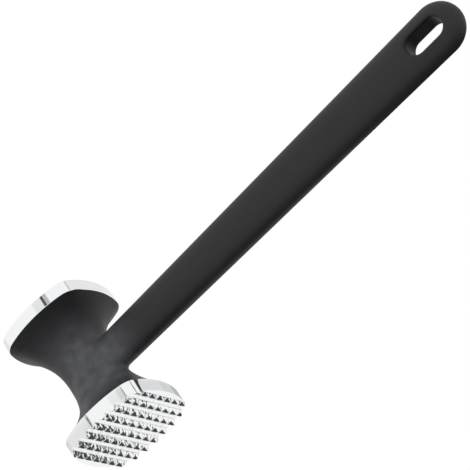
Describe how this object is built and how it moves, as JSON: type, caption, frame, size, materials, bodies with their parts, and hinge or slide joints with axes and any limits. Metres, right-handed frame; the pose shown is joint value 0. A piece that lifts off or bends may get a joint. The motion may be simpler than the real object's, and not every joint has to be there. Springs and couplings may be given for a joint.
{
  "type": "meat mallet",
  "caption": "Two-faced meat mallet with a chrome toothed face, a chrome smooth face, a black soft waist and a long flat handle with a hanging slot.",
  "frame": {"origin": "centre of the smooth striking face, where the head's axis meets it", "axes": "+Z along the head towards the toothed face, +X along the handle towards its hanging slot, +Y across the handle's flat side"},
  "size_m": [0.302, 0.059, 0.0816],
  "materials": {
    "plated_casting": "bright chrome plating on a zinc casting",
    "core_casting": "as-cast grey metal, hidden under the skin",
    "fastener_steel": "zinc-plated steel, hidden",
    "tang_steel": "bare rolled steel, hidden",
    "carrier_plastic": "black glass-filled nylon, hidden",
    "soft_skin": "matt black soft moulded elastomer, fine even texture"
  },
  "bodies": {
    "root": {"toothed_plate": "plated_casting", "smooth_plate": "plated_casting", "head_core": "core_casting", "plate_screws": "fastener_steel", "lock_washers": "fastener_steel", "handle_tang": "tang_steel", "head_pin": "fastener_steel", "handle_pin": "fastener_steel", "handle_carrier": "carrier_plastic", "soft_grip": "soft_skin"}
  },
  "joints": []
}
